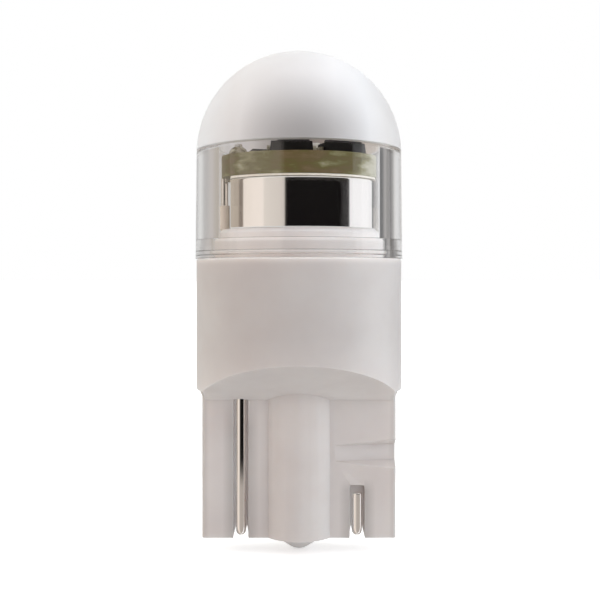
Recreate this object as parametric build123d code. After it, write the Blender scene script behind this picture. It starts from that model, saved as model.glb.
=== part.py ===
from build123d import *
import os
from math import asin, atan2, cos, degrees, radians, sin, tan

# Wedge base LED bulb, in millimetres. +Z is the lamp's axis with the dome up, X runs along
# the blade's width, and the origin is the centre of the blade's flat end.
# The lamp is the same when turned half round about Z, so pieces come in left and right
# pairs: the left one is modelled at the front left, and the right one is its half turn.

# Blade that enters the holder
BLADE_WIDTH = 9.5
BLADE_THICKNESS = 2.1
BLADE_EDGE_ROUND = 0.15
RIB_DIAMETER = 3.68
NUB_DIAMETER = 2.85
NUB_HEIGHT = 0.92  # to the sharp point, before its tip is rounded
NUB_TIP_ROUND = 0.8

# Retention recesses: ramps that the holder's spring arms snap into
RECESS_MID_Z = 4.13
RECESS_FLOOR_HEIGHT = 0.78
RECESS_EDGE_DEPTH = 0.6
RECESS_RIB_DEPTH = 0.03
RECESS_WALL_SLANT = 30  # degrees

# Contact wires folded under the blade, and their grooves
WIRE_DIAMETER = 0.48
WIRE_OFFSET = 2.85  # of each wire from the lamp's axis
WIRE_BEND_RADIUS = 0.3
WIRE_PROUD = 0.14  # of the blade's face
WIRE_BOTTOM_Z = 0.05
WIRE_END_Z = 2.21
GROOVE_WIDTH = 0.73
GROOVE_TOP_Z = 6.8
SHORT_GROOVE_TOP_Z = 2.59
GROOVE_CORNER_ROUND = 0.1
NOTCH_TOP_Z = 0.6
NOTCH_TOP_WIDTH = 0.56
NOTCH_MOUTH_WIDTH = 0.76

# Collar above the blade, with a roof-shaped underside
COLLAR_TOP_Z = 13.67
COLLAR_TOP_CHAMFER = 0.06
UNDERSIDE_Z = 6.22  # at the lamp's axis
UNDERSIDE_SLOPE = 26.75  # degrees
SIDE_LEDGE_Z = 7.29
SIDE_LEDGE_INSET = 0.15  # in from the blade's edge
GUSSET_WIDTH = 0.15
GUSSET_HEIGHT = 0.36

# Spigot that the clear sleeve snaps onto, with heights above the collar's top
SPIGOT_SHOULDER_STEP = 0.27  # out from the bore
SPIGOT_SHOULDER_HEIGHT = 0.92
SPIGOT_SHOULDER_CHAMFER = 0.12
SPIGOT_HEIGHT = 1.38
SPIGOT_TOP_CHAMFER = 0.18
SNAP_BEAD_RISE = 0.275
SNAP_BEAD_HEIGHT = 0.17
SNAP_BEAD_PROUD = 0.1
SNAP_BEAD_CHAMFER = 0.04
FIT_CLEARANCE = 0.03

# Clear sleeve and opal dome
SLEEVE_LENGTH = 5.37
SLEEVE_WALL = 1.07
SLEEVE_FOOT_FLARE = 0.05
DOME_HEIGHT = 4.93
DOME_WALL = 1.0

# Heat sink, pad and board
HEAT_SINK_TO_BORE = 0.21
HEAT_SINK_HEIGHT = 2.39
HEAT_SINK_ROUND = 0.12
REGISTER_DIAMETER = 4.0
REGISTER_HEIGHT = 0.35
PAD_THICKNESS = 0.1
BOARD_THICKNESS = 1.05
BOARD_TO_BORE = 0.17
BOARD_EDGE_MARGIN = 0.355  # outside the solder joints

# Leads from the contact wires to the board
LEAD_DIAMETER = 0.38
LEAD_AZIMUTH = 13  # degrees, from -X towards the front
LEAD_BEND_RADIUS = 0.3
LEAD_START_Z = 8.5
LEAD_JOG_START_Z = 9.6
LEAD_JOG_END_Z = 11.2
LEAD_TIP_PROUD = 0.68
INSULATOR_DIAMETER = 0.54
INSULATOR_HEIGHT = 1.19
LEAD_CLEARANCE = 0.02
HEAT_SINK_TO_INSULATOR = 0.03
SOLDER_DIAMETER = 0.95
SOLDER_HEIGHT = 0.58

# Parts on the board: the LED in the middle, a resistor between it and each solder joint,
# and two diodes along each half of the edge
DIODE_LENGTH = 1.88
DIODE_WIDTH = 1.1
DIODE_STEP_HEIGHT = 0.5
DIODE_HEIGHT = 0.72
DIODE_STEP_NEAR = 0.29
DIODE_STEP_FAR = 0.13
DIODE_DRAFT = 4  # degrees
DIODE_SETBACK = 1.08  # of its middle from the board's edge
DIODE_GAP = 0.19
DIODE_FIRST_AZIMUTH = -7  # degrees, from the front towards +X
DIODE_YAWS = (3, 18)  # degrees
TERMINAL_PROUD = 0.14
TERMINAL_WIDTH = 0.6
TERMINAL_HEIGHT = 0.3
LED_SIDE = 2.0
LED_HEIGHT = 0.7
LED_WINDOW_DIAMETER = 1.6
LED_WINDOW_DEPTH = 0.35
LED_WINDOW_FLARE = 25  # degrees
RESISTOR_LENGTH = 1.6
RESISTOR_WIDTH = 0.8
RESISTOR_HEIGHT = 0.35
RESISTOR_CAP_LENGTH = 0.3
RESISTOR_SHIFT = -0.1  # along Y
RESISTOR_TO_LED = 0.6
RESISTOR_TO_SOLDER = 0.155

OVERSHOOT = 1.0  # of cutters past the faces that they open

# Sizes that follow from the ones above: the board holds its parts, the sleeve clears the
# board, and the collar has the sleeve's diameter
resistor_line = LED_SIDE / 2 + RESISTOR_TO_LED + RESISTOR_WIDTH / 2
lead_top_radius = resistor_line + RESISTOR_WIDTH / 2 + RESISTOR_TO_SOLDER + SOLDER_DIAMETER / 2
board_radius = lead_top_radius + SOLDER_DIAMETER / 2 + BOARD_EDGE_MARGIN
bore_radius = board_radius + BOARD_TO_BORE
body_radius = bore_radius + SLEEVE_WALL
shoulder_radius = bore_radius + SPIGOT_SHOULDER_STEP
heat_sink_radius = bore_radius - HEAT_SINK_TO_BORE
blade_face = BLADE_THICKNESS / 2
blade_edge = BLADE_WIDTH / 2
wire_line = blade_face + WIRE_PROUD - WIRE_DIAMETER / 2
groove_floor = wire_line - WIRE_DIAMETER / 2 - LEAD_CLEARANCE
shoulder_z = COLLAR_TOP_Z + SPIGOT_SHOULDER_HEIGHT
spigot_top_z = COLLAR_TOP_Z + SPIGOT_HEIGHT
bead_low_z = COLLAR_TOP_Z + SNAP_BEAD_RISE - SNAP_BEAD_HEIGHT / 2
bead_high_z = bead_low_z + SNAP_BEAD_HEIGHT
dome_joint_z = COLLAR_TOP_Z + SLEEVE_LENGTH
heat_sink_top_z = spigot_top_z + HEAT_SINK_HEIGHT
board_bottom_z = heat_sink_top_z + PAD_THICKNESS
board_top_z = board_bottom_z + BOARD_THICKNESS
lead_rise_radius = bore_radius - FIT_CLEARANCE - INSULATOR_DIAMETER / 2
heat_sink_flat = lead_rise_radius - INSULATOR_DIAMETER / 2 - HEAT_SINK_TO_INSULATOR

HALF_TURN = Rot(0, 0, 180)
LEFT_TO_LEAD = Rot(0, 0, 180 + LEAD_AZIMUTH)  # turns +X to the left lead's direction


def turned(*corners):
    """Solid of revolution about Z from the (radius, z) corners of its half section."""
    return revolve(Plane.XZ * Polygon(*corners, align=None), Axis.Z)


def disc(radius, bottom, top):
    return turned((0, bottom), (radius, bottom), (radius, top), (0, top))


def rod(path, diameter):
    """Round rod along a path of straight runs and tangent arcs."""
    start = Plane(origin=path @ 0, z_dir=path % 0)
    return sweep(start * Circle(diameter / 2), path)


def at_lead(radius, z):
    """Point at the left lead's azimuth."""
    azimuth = radians(180 + LEAD_AZIMUTH)
    return (radius * cos(azimuth), radius * sin(azimuth), z)


# Base body

def collar():
    """Round collar, cut below by two sloping planes and by a level ledge at each side."""
    slope_rise = body_radius * tan(radians(UNDERSIDE_SLOPE))
    barrel = disc(body_radius, 0, COLLAR_TOP_Z)
    barrel = chamfer(barrel.edges().group_by(Axis.Z)[-1], COLLAR_TOP_CHAMFER)
    roof = Plane.YZ * Polygon(
        (0, UNDERSIDE_Z),
        (body_radius, UNDERSIDE_Z + slope_rise),
        (body_radius, COLLAR_TOP_Z),
        (-body_radius, COLLAR_TOP_Z),
        (-body_radius, UNDERSIDE_Z + slope_rise),
        align=None,
    )
    ledge_start = blade_edge - SIDE_LEDGE_INSET
    sides = Plane.XZ * Polygon(
        (ledge_start, SIDE_LEDGE_Z),
        (body_radius, SIDE_LEDGE_Z),
        (body_radius, COLLAR_TOP_Z),
        (-body_radius, COLLAR_TOP_Z),
        (-body_radius, SIDE_LEDGE_Z),
        (-ledge_start, SIDE_LEDGE_Z),
        (-ledge_start, UNDERSIDE_Z - OVERSHOOT),
        (ledge_start, UNDERSIDE_Z - OVERSHOOT),
        align=None,
    )
    barrel &= extrude(roof, body_radius, both=True)
    return barrel & extrude(sides, body_radius, both=True)


def blade():
    """Flat blade with rounded side edges, its round middle rib and the cone under it."""
    top = SIDE_LEDGE_Z + OVERSHOOT / 2
    flat = extrude(Rectangle(BLADE_WIDTH, BLADE_THICKNESS), top)
    flat = fillet(flat.edges().filter_by(Axis.Z), BLADE_EDGE_ROUND)
    rib = disc(RIB_DIAMETER / 2, 0, top)
    nub_radius = NUB_DIAMETER / 2
    cone = Polygon((-nub_radius, 0), (0, -NUB_HEIGHT), (nub_radius, 0), align=None)
    cone = fillet(cone.vertices().sort_by(Axis.Y)[0], NUB_TIP_ROUND)
    right_side = Rectangle(NUB_DIAMETER, 2 * NUB_HEIGHT, align=(Align.MIN, Align.CENTER))
    return flat + gussets(top) + rib + revolve(Plane.XZ * (cone & right_side), Axis.Z)


def gussets(top):
    """Wedges that carry the collar's ledges on the blade's side edges."""
    foot = SIDE_LEDGE_Z - GUSSET_HEIGHT
    outside = blade_edge + GUSSET_WIDTH
    outline = Polygon(
        (blade_edge, foot),
        (outside, SIDE_LEDGE_Z),
        (outside, top),
        (-outside, top),
        (-outside, SIDE_LEDGE_Z),
        (-blade_edge, foot),
        align=None,
    )
    return extrude(Plane.XZ * outline, blade_face - BLADE_EDGE_ROUND, both=True)


def spigot():
    """Stepped boss with a snap bead, and the pip that centres the heat sink."""
    fit_radius = shoulder_radius - FIT_CLEARANCE
    neck_radius = bore_radius - FIT_CLEARANCE
    pip_radius = REGISTER_DIAMETER / 2 - FIT_CLEARANCE
    root = COLLAR_TOP_Z - OVERSHOOT
    boss = turned(
        (0, root),
        (fit_radius, root),
        (fit_radius, bead_low_z),
        (fit_radius + SNAP_BEAD_PROUD, bead_low_z + SNAP_BEAD_CHAMFER),
        (fit_radius + SNAP_BEAD_PROUD, bead_high_z - SNAP_BEAD_CHAMFER),
        (fit_radius, bead_high_z),
        (fit_radius, shoulder_z - SPIGOT_SHOULDER_CHAMFER),
        (fit_radius - SPIGOT_SHOULDER_CHAMFER, shoulder_z),
        (neck_radius, shoulder_z),
        (neck_radius, spigot_top_z - SPIGOT_TOP_CHAMFER),
        (neck_radius - SPIGOT_TOP_CHAMFER, spigot_top_z),
        (0, spigot_top_z),
    )
    return boss + disc(pip_radius, spigot_top_z, spigot_top_z + REGISTER_HEIGHT)


def wire_groove():
    """Left groove: long on the front face, under the blade, and short on the back."""
    outside = blade_face + OVERSHOOT
    long_side = Pos(-WIRE_OFFSET, -groove_floor, 0) * Box(
        GROOVE_WIDTH, outside - groove_floor, GROOVE_TOP_Z, align=(Align.CENTER, Align.MAX, Align.MIN)
    )
    short_side = Pos(-WIRE_OFFSET, groove_floor, 0) * Box(
        GROOVE_WIDTH, outside - groove_floor, SHORT_GROOVE_TOP_Z, align=(Align.CENTER, Align.MIN, Align.MIN)
    )
    top_edges = short_side.edges().filter_by(Axis.Y).group_by(Axis.Z)[-1]
    short_side = fillet(top_edges, GROOVE_CORNER_ROUND)
    notch = Polygon(
        (-NOTCH_MOUTH_WIDTH / 2, 0),
        (NOTCH_MOUTH_WIDTH / 2, 0),
        (NOTCH_TOP_WIDTH / 2, NOTCH_TOP_Z),
        (-NOTCH_TOP_WIDTH / 2, NOTCH_TOP_Z),
        align=None,
    )
    notch = fillet(notch.vertices().group_by(Axis.Y)[-1], GROOVE_CORNER_ROUND)
    through = Pos(-WIRE_OFFSET, 0, 0) * extrude(Plane.XZ * notch, outside, both=True)
    return long_side + short_side + through


def retention_recess():
    """Front right ramp: a channel with sloping ends, turned so that it deepens outwards."""
    run = blade_edge - RIB_DIAMETER / 2
    ramp = degrees(atan2(RECESS_EDGE_DEPTH - RECESS_RIB_DEPTH, run))
    floor = RECESS_FLOOR_HEIGHT / 2
    mouth = floor + (RECESS_EDGE_DEPTH + OVERSHOOT) * tan(radians(RECESS_WALL_SLANT))
    section = Plane.YZ * Polygon(
        (RECESS_EDGE_DEPTH, floor),
        (RECESS_EDGE_DEPTH, -floor),
        (-OVERSHOOT, -mouth),
        (-OVERSHOOT, mouth),
        align=None,
    )
    channel = Pos(-run, 0, 0) * extrude(section, run + OVERSHOOT, dir=(1, 0, 0))
    return Pos(blade_edge, -blade_face, RECESS_MID_Z) * Rot(0, 0, ramp) * channel


def base_body():
    body = collar() + blade() + spigot()
    wire_hole = Pos(-WIRE_OFFSET, -wire_line, 0) * disc(
        WIRE_DIAMETER / 2 + LEAD_CLEARANCE, GROOVE_TOP_Z - OVERSHOOT, LEAD_START_Z
    )
    lead_hole = rod(lead_path(), LEAD_DIAMETER + 2 * LEAD_CLEARANCE)
    for cutter in (wire_groove(), wire_hole, lead_hole):
        body -= cutter
        body -= HALF_TURN * cutter
    # The recess stops at the rib, which stays whole
    rib_guard = disc(RIB_DIAMETER / 2, 0, SIDE_LEDGE_Z)
    recess = retention_recess() - rib_guard
    return body - recess - HALF_TURN * recess


# Clear sleeve and dome

def clear_sleeve():
    """Clear tube with a counterbore for the spigot's shoulder and a groove for its bead."""
    groove_low = bead_low_z - FIT_CLEARANCE
    groove_high = bead_high_z + FIT_CLEARANCE
    groove_radius = shoulder_radius + SNAP_BEAD_PROUD
    return turned(
        (shoulder_radius, COLLAR_TOP_Z),
        (body_radius + SLEEVE_FOOT_FLARE, COLLAR_TOP_Z),
        (body_radius, dome_joint_z),
        (bore_radius, dome_joint_z),
        (bore_radius, shoulder_z + FIT_CLEARANCE),
        (shoulder_radius, shoulder_z + FIT_CLEARANCE),
        (shoulder_radius, groove_high),
        (groove_radius, groove_high - SNAP_BEAD_CHAMFER),
        (groove_radius, groove_low + SNAP_BEAD_CHAMFER),
        (shoulder_radius, groove_low),
    )


def ball_cap(rim_radius, height, rim_z):
    """Segment of a ball above rim_z: its rim radius and height fix the ball."""
    ball_radius = (rim_radius**2 + height**2) / (2 * height)
    ball = Pos(0, 0, rim_z + height - ball_radius) * Sphere(ball_radius)
    return ball & disc(2 * ball_radius, rim_z, rim_z + 2 * height)


def dome_diffuser():
    """Hollow opal dome that continues the sleeve's outline."""
    outer = ball_cap(body_radius, DOME_HEIGHT, dome_joint_z)
    inner = ball_cap(body_radius - DOME_WALL, DOME_HEIGHT - DOME_WALL, dome_joint_z)
    return outer - inner


# Wires and leads, left ones

def contact_wire():
    """Wire down the front face, under the blade and up into the short groove behind."""
    bottom = WIRE_BOTTOM_Z + WIRE_DIAMETER / 2
    path = FilletPolyline(
        (-WIRE_OFFSET, -wire_line, LEAD_START_Z),
        (-WIRE_OFFSET, -wire_line, bottom),
        (-WIRE_OFFSET, wire_line, bottom),
        (-WIRE_OFFSET, wire_line, WIRE_END_Z),
        radius=WIRE_BEND_RADIUS,
    )
    return rod(path, WIRE_DIAMETER)


def lead_path():
    """Up inside the base, out beside the heat sink, and in through the board's slot."""
    return FilletPolyline(
        (-WIRE_OFFSET, -wire_line, LEAD_START_Z),
        (-WIRE_OFFSET, -wire_line, LEAD_JOG_START_Z),
        at_lead(lead_rise_radius, LEAD_JOG_END_Z),
        at_lead(lead_rise_radius, board_bottom_z),
        at_lead(lead_top_radius, board_top_z - LEAD_DIAMETER),
        at_lead(lead_top_radius, board_top_z + LEAD_TIP_PROUD),
        radius=LEAD_BEND_RADIUS,
    )


def lead_insulator():
    """Short tube that stands on the spigot round the lead."""
    sleeve = Pos(at_lead(lead_rise_radius, spigot_top_z)) * Cylinder(
        INSULATOR_DIAMETER / 2, INSULATOR_HEIGHT, align=(Align.CENTER, Align.CENTER, Align.MIN)
    )
    return sleeve - rod(lead_path(), LEAD_DIAMETER + 2 * LEAD_CLEARANCE)


def solder_joint():
    """Solder cone round the lead's tip."""
    mound = ball_cap(SOLDER_DIAMETER / 2, SOLDER_HEIGHT, board_top_z)
    return Pos(at_lead(lead_top_radius, 0)) * mound - rod(lead_path(), LEAD_DIAMETER)


# Heat sink, pad and board

def flatted_disc(radius, flat, bottom, top):
    """Disc with a flat beside each lead."""
    beyond_flat = Pos(flat, 0, bottom) * Box(
        radius, 2 * radius, top - bottom, align=(Align.MIN, Align.CENTER, Align.MIN)
    )
    beyond_flat = LEFT_TO_LEAD * beyond_flat
    return disc(radius, bottom, top) - beyond_flat - HALF_TURN * beyond_flat


def heat_sink():
    """Polished slug with a socket for the spigot's pip."""
    slug = flatted_disc(heat_sink_radius, heat_sink_flat, spigot_top_z, heat_sink_top_z)
    slug = fillet(slug.edges().group_by(Axis.Z)[-1], HEAT_SINK_ROUND)
    return slug - disc(REGISTER_DIAMETER / 2, spigot_top_z, spigot_top_z + REGISTER_HEIGHT)


def thermal_pad():
    """Sheet with the heat sink's outline, so that its pale edge shows under the board."""
    return flatted_disc(heat_sink_radius, heat_sink_flat, heat_sink_top_z, board_bottom_z)


def led_board():
    """Round board with a radial slot for each lead."""
    slot_width = LEAD_DIAMETER + 2 * LEAD_CLEARANCE
    slot_end = Pos(lead_top_radius, 0, board_bottom_z) * Cylinder(
        slot_width / 2, BOARD_THICKNESS, align=(Align.CENTER, Align.CENTER, Align.MIN)
    )
    slot_run = Pos(lead_top_radius, 0, board_bottom_z) * Box(
        board_radius, slot_width, BOARD_THICKNESS, align=(Align.MIN, Align.CENTER, Align.MIN)
    )
    slot = LEFT_TO_LEAD * (slot_end + slot_run)
    return disc(board_radius, board_bottom_z, board_top_z) - slot - HALF_TURN * slot


# Parts on the board

def on_board(x, y, yaw):
    return Pos(x, y, board_top_z) * Rot(0, 0, yaw)


def diode_places():
    """Place of each front diode: both stand on one ring, a gap apart end to end."""
    ring = board_radius - DIODE_SETBACK
    pitch = DIODE_LENGTH + 2 * TERMINAL_PROUD + DIODE_GAP
    step = 2 * degrees(asin(pitch / 2 / ring))
    places = {}
    for index, side in enumerate(("left", "right")):
        azimuth = radians(DIODE_FIRST_AZIMUTH + index * step)
        place = on_board(ring * sin(azimuth), -ring * cos(azimuth), DIODE_YAWS[index])
        places[f"front_{side}"] = place
    return places


def rectifier_diode():
    """Moulded package: drafted sides up to a step at each end, then a narrower top."""
    lower = extrude(Rectangle(DIODE_LENGTH, DIODE_WIDTH), DIODE_STEP_HEIGHT, taper=DIODE_DRAFT)
    shrink = 2 * DIODE_STEP_HEIGHT * tan(radians(DIODE_DRAFT))
    top_length = DIODE_LENGTH - shrink - DIODE_STEP_NEAR - DIODE_STEP_FAR
    shift = (DIODE_STEP_NEAR - DIODE_STEP_FAR) / 2
    upper = extrude(
        Rectangle(top_length, DIODE_WIDTH - shrink), DIODE_HEIGHT - DIODE_STEP_HEIGHT, taper=DIODE_DRAFT
    )
    return lower + Pos(shift, 0, DIODE_STEP_HEIGHT) * upper


def terminal_pair():
    """Tin terminals: one block passes under the package, which is cut out of it."""
    bar = extrude(Rectangle(DIODE_LENGTH + 2 * TERMINAL_PROUD, TERMINAL_WIDTH), TERMINAL_HEIGHT)
    return bar - rectifier_diode()


def led_window(depth):
    """Cone-shaped light window, open at the top of the package."""
    top = board_top_z + LED_HEIGHT
    foot = LED_WINDOW_DIAMETER / 2 - depth * tan(radians(LED_WINDOW_FLARE))
    return turned((0, top - depth), (foot, top - depth), (LED_WINDOW_DIAMETER / 2, top), (0, top))


def led_package():
    block = on_board(0, 0, 0) * extrude(Rectangle(LED_SIDE, LED_SIDE), LED_HEIGHT)
    return block - led_window(LED_WINDOW_DEPTH)


def resistor_place():
    return on_board(resistor_line, RESISTOR_SHIFT, 90)


def current_resistor():
    middle = RESISTOR_LENGTH - 2 * RESISTOR_CAP_LENGTH
    return resistor_place() * extrude(Rectangle(middle, RESISTOR_WIDTH), RESISTOR_HEIGHT)


def resistor_cap(end):
    offset = end * (RESISTOR_LENGTH - RESISTOR_CAP_LENGTH) / 2
    block = extrude(Rectangle(RESISTOR_CAP_LENGTH, RESISTOR_WIDTH), RESISTOR_HEIGHT)
    return resistor_place() * Pos(offset, 0, 0) * block


def assembly():
    """Every piece of the lamp by name, each a solid or a group of separate solids."""
    pieces = {
        "base_body": base_body(),
        "clear_sleeve": clear_sleeve(),
        "dome_diffuser": dome_diffuser(),
        "heat_sink": heat_sink(),
        "thermal_pad": thermal_pad(),
        "led_board": led_board(),
        "led_package": led_package(),
        "led_phosphor": led_window(LED_WINDOW_DEPTH),
    }
    left_pieces = {
        "contact_wire": contact_wire(),
        "board_lead": rod(lead_path(), LEAD_DIAMETER),
        "lead_insulator": lead_insulator(),
        "solder_joint": solder_joint(),
    }
    for name, piece in left_pieces.items():
        pieces[f"{name}_left"] = piece
        pieces[f"{name}_right"] = HALF_TURN * piece
    terminals = []
    opposite = {"front_left": "back_right", "front_right": "back_left"}
    for name, place in diode_places().items():
        diode = place * rectifier_diode()
        pieces[f"rectifier_diode_{name}"] = diode
        pieces[f"rectifier_diode_{opposite[name]}"] = HALF_TURN * diode
        pair = place * terminal_pair()
        terminals += pair.solids() + (HALF_TURN * pair).solids()
    pieces["diode_terminals"] = Compound(terminals)
    pieces["current_resistor_right"] = current_resistor()
    pieces["current_resistor_left"] = HALF_TURN * current_resistor()
    caps = [resistor_cap(end) for end in (-1, 1)]
    caps += [HALF_TURN * cap for cap in caps]
    pieces["resistor_end_caps"] = Compound([cap.solid() for cap in caps])
    return pieces


os.makedirs("parts", exist_ok=True)
for name, shape in assembly().items():
    export_step(shape, f"parts/{name}.step")
    print(f"{name}: {len(shape.solids())} solid(s), {shape.volume:.3f} mm3")
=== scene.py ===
# %% [markdown]
# # A wedge base LED bulb
# The lamp is 25 mm high: a pale plastic base with a flat blade, a clear sleeve that shows
# the heat sink and the board, and an opal dome. Its solids come from CAD as a fixed frame,
# and this script gives them their finishes. Pieces whose curves show are made again here as
# fine surfaces, at the places that the frame gives.

# %% Load the frame
import bmesh
import bpy
import numpy as np
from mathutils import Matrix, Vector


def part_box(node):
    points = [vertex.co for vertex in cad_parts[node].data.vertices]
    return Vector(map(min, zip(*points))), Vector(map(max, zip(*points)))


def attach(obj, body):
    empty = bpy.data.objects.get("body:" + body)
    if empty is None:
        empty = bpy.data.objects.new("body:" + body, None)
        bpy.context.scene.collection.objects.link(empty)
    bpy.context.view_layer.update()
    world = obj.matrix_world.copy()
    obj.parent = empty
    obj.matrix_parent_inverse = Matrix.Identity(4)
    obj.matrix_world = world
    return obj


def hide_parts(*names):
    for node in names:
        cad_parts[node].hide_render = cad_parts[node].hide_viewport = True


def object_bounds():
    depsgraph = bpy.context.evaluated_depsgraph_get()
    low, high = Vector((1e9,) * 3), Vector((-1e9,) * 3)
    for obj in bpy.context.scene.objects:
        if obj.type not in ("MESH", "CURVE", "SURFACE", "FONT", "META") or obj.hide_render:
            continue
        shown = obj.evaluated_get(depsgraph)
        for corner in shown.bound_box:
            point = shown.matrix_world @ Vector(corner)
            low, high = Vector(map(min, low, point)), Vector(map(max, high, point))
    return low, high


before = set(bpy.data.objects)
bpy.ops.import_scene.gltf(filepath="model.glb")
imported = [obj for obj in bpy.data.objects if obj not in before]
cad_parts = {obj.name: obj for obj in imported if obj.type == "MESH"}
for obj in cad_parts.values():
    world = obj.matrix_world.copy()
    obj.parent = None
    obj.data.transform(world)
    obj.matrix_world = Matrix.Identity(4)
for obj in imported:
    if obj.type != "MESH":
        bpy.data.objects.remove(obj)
cad_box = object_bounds()
print("CAD box in mm:", [[round(1000 * v, 2) for v in corner] for corner in cad_box])

# %% [markdown]
# ## Sizes
# Blender works in metres here, and a lamp is easier to think about in millimetres, so one
# factor turns the one into the other. Heights are read from the frame's boxes, which keeps
# every new surface where its CAD piece is.

# %% Sizes from the frame
MM = 0.001


def span(name):
    """Lowest and highest corner of a CAD node, in millimetres."""
    low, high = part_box(name)
    return np.array(low) / MM, np.array(high) / MM


collar_top, dome_joint = (corner[2] for corner in span("clear_sleeve"))
body_radius = span("base_body")[1][0]
dome_top = span("dome_diffuser")[1][2]
sink_low, sink_high = (corner[2] for corner in span("heat_sink"))
board_low, board_high = (corner[2] for corner in span("led_board"))
print("collar top", round(collar_top, 2), "dome joint", round(dome_joint, 2),
      "top", round(dome_top, 2))

# %% [markdown]
# ## Camera
# The photograph looks level at the heat sink from about two lamp lengths away, so the
# dome's rim is seen from below and the blade's end from above. A short distance with a
# normal lens gives that, and a small shift frames the lamp without tilting the camera, which
# keeps its sides upright.

# %% Camera
CAMERA_DISTANCE = 47.1
CAMERA_HEIGHT = 12.88

camera_data = bpy.data.cameras.new("camera")
camera_data.lens = 56.4
camera_data.sensor_width = 36
camera_data.shift_x = 0.00175
camera_data.shift_y = -0.0417
camera_data.clip_start = 1 * MM
camera_data.clip_end = 10
camera = bpy.data.objects.new("camera", camera_data)
camera.location = (0, -CAMERA_DISTANCE * MM, CAMERA_HEIGHT * MM)
camera.rotation_euler = (np.pi / 2, 0, 0)
bpy.context.scene.collection.objects.link(camera)
bpy.context.scene.camera = camera

# %% [markdown]
# ## Node helpers
# Every finish is a small graph of shader nodes. These helpers keep each graph short: one adds
# any node and fills its sockets, with links where a value is another node's output, one
# starts a material and hands over its main shader, and the others add the nodes that come
# back in nearly every finish.

# %% Node helpers
WHITE = (1, 1, 1, 1)


def grey(level):
    """Linear grey with alpha."""
    return (level, level, level, 1)


def colour(red, green, blue):
    """Linear colour with alpha from the 0 to 255 values that a screen shows."""
    screen = np.array([red, green, blue]) / 255
    linear = np.where(screen > 0.04045, ((screen + 0.055) / 1.055) ** 2.4, screen / 12.92)
    return (*linear.tolist(), 1.0)


def node(tree, kind, inputs=(), output=0, **settings):
    """Adds a node, sets its properties and sockets, and returns one of its outputs."""
    made = tree.nodes.new("ShaderNode" + kind)
    for name, value in settings.items():
        setattr(made, name, value)
    for name, value in dict(inputs).items():
        if isinstance(value, bpy.types.NodeSocket):
            tree.links.new(value, made.inputs[name])
        else:
            made.inputs[name].default_value = value
    return made.outputs[output]


def maths(tree, operation, *values, **settings):
    """Math node over its values in order; each is a number or another node's output."""
    return node(tree, "Math", enumerate(values), operation=operation, **settings)


def mix(tree, factor, first, second, blend="MIX"):
    """The first colour where factor is 0, and its blend with the second where it is 1."""
    sockets = {"Fac": factor, "Color1": first, "Color2": second}
    return node(tree, "MixRGB", sockets, blend_type=blend)


def fade(tree, value, start, end, unit=MM, **settings):
    """0 where value is at start and 1 where it is at end; start can be the larger one."""
    sockets = {"Value": value, "From Min": start * unit, "From Max": end * unit}
    return node(tree, "MapRange", sockets, **settings)


def object_place(tree):
    """Place of a point in the object's own axes."""
    return node(tree, "TexCoord", output=3)


def axes(tree, vector):
    """The x, y and z outputs of a vector."""
    split = tree.nodes.new("ShaderNodeSeparateXYZ")
    tree.links.new(vector, split.inputs["Vector"])
    return split.outputs


def ramp(tree, factor, stops):
    """Colour ramp over the (place, colour) stops."""
    made = tree.nodes.new("ShaderNodeValToRGB")
    elements = made.color_ramp.elements
    while len(elements) < len(stops):
        elements.new(1.0)
    for element, (place, value) in zip(elements, stops):
        element.position = place
        element.color = value
    tree.links.new(factor, made.inputs["Fac"])
    return made.outputs["Color"]


def grain(tree, scale, detail=2.0, roughness=0.5, stretch=(1, 1, 1)):
    """Noise over the object, with scale in waves per millimetre."""
    place = node(tree, "Mapping", {"Vector": object_place(tree), "Scale": stretch})
    sockets = {"Vector": place, "Scale": scale / MM, "Detail": detail, "Roughness": roughness}
    return node(tree, "TexNoise", sockets)


def finish(name, base, **sockets):
    """New material with its shader's even values set; returns it, its tree and shader."""
    material = bpy.data.materials.new(name)
    material.use_nodes = True
    shader = material.node_tree.nodes["Principled BSDF"]
    shader.inputs["Base Color"].default_value = base
    for socket, value in sockets.items():
        shader.inputs[socket.replace("_", " ")].default_value = value
    return material, material.node_tree, shader


def vary(tree, shader, socket, pattern, stops):
    """Lets a pattern, through a ramp over the stops, drive one of the shader's sockets."""
    tree.links.new(ramp(tree, pattern, stops), shader.inputs[socket])


def bumped(tree, shader, height, distance, strength=1.0):
    """Lets a height pattern tilt the shader's normal; distance is in millimetres."""
    sockets = {"Height": height, "Distance": distance * MM, "Strength": strength}
    tree.links.new(node(tree, "Bump", sockets), shader.inputs["Normal"])


# %% [markdown]
# ## Studio cards
# Polished metal and clear plastic look like what stands round them, so mirror and glass rays
# see a small studio by direction: a white back, a warm card at the left, a dark card at the
# front right and a white one beside it. The bands on the heat sink are its reflection. Matt
# surfaces only need soft light that is stronger at the right, so their rays see a second,
# even simpler ring of light.

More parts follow.
